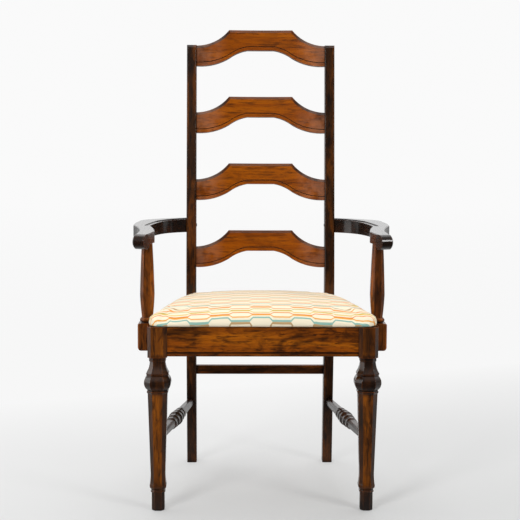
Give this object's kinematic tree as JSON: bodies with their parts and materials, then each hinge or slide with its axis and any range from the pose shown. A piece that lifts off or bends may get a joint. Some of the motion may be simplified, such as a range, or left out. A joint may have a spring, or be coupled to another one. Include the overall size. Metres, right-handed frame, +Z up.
{
  "type": "ladderback armchair",
  "caption": "Wooden ladderback armchair with arched slats, octagonal turned front legs, bowed arms with rolled hands and an upholstered seat.",
  "frame": {"origin": "on the floor, below the middle of the chair's bounding box", "axes": "+Z up along the back, +Y from the front of the seat to the back, +X to the right as seen from the front"},
  "size_m": [0.6226, 0.5138, 1.1173],
  "materials": {
    "dark_wood": "gloss lacquer over near black stain",
    "brown_wood": "gloss lacquer over reddish brown stain",
    "plain_wood": "bare planed wood",
    "plywood": "bare plywood",
    "foam": "open cell foam",
    "seat_fabric": "cream weave with rows of coloured hexagons",
    "steel": "zinc plated"
  },
  "bodies": {
    "root": {"rear_post_left": "dark_wood", "rear_post_right": "dark_wood", "arm_left": "dark_wood", "arm_right": "dark_wood", "arm_post_left": "dark_wood", "arm_post_right": "dark_wood", "arm_buttons": "dark_wood", "slat_1": "brown_wood", "slat_2": "brown_wood", "slat_3": "brown_wood", "slat_4": "brown_wood", "front_rail": "brown_wood", "rear_stretcher": "brown_wood", "front_leg_left": "brown_wood", "front_leg_right": "brown_wood", "side_stretcher_left": "brown_wood", "side_stretcher_right": "brown_wood", "side_rail_left": "brown_wood", "side_rail_right": "brown_wood", "rear_rail": "brown_wood", "corner_block_front_left": "plain_wood", "corner_block_front_right": "plain_wood", "corner_block_rear_left": "plain_wood", "corner_block_rear_right": "plain_wood", "seat_board": "plywood", "seat_foam": "foam", "seat_cover": "seat_fabric", "seat_screws": "steel", "arm_screws": "steel", "arm_post_screws": "steel"}
  },
  "joints": []
}
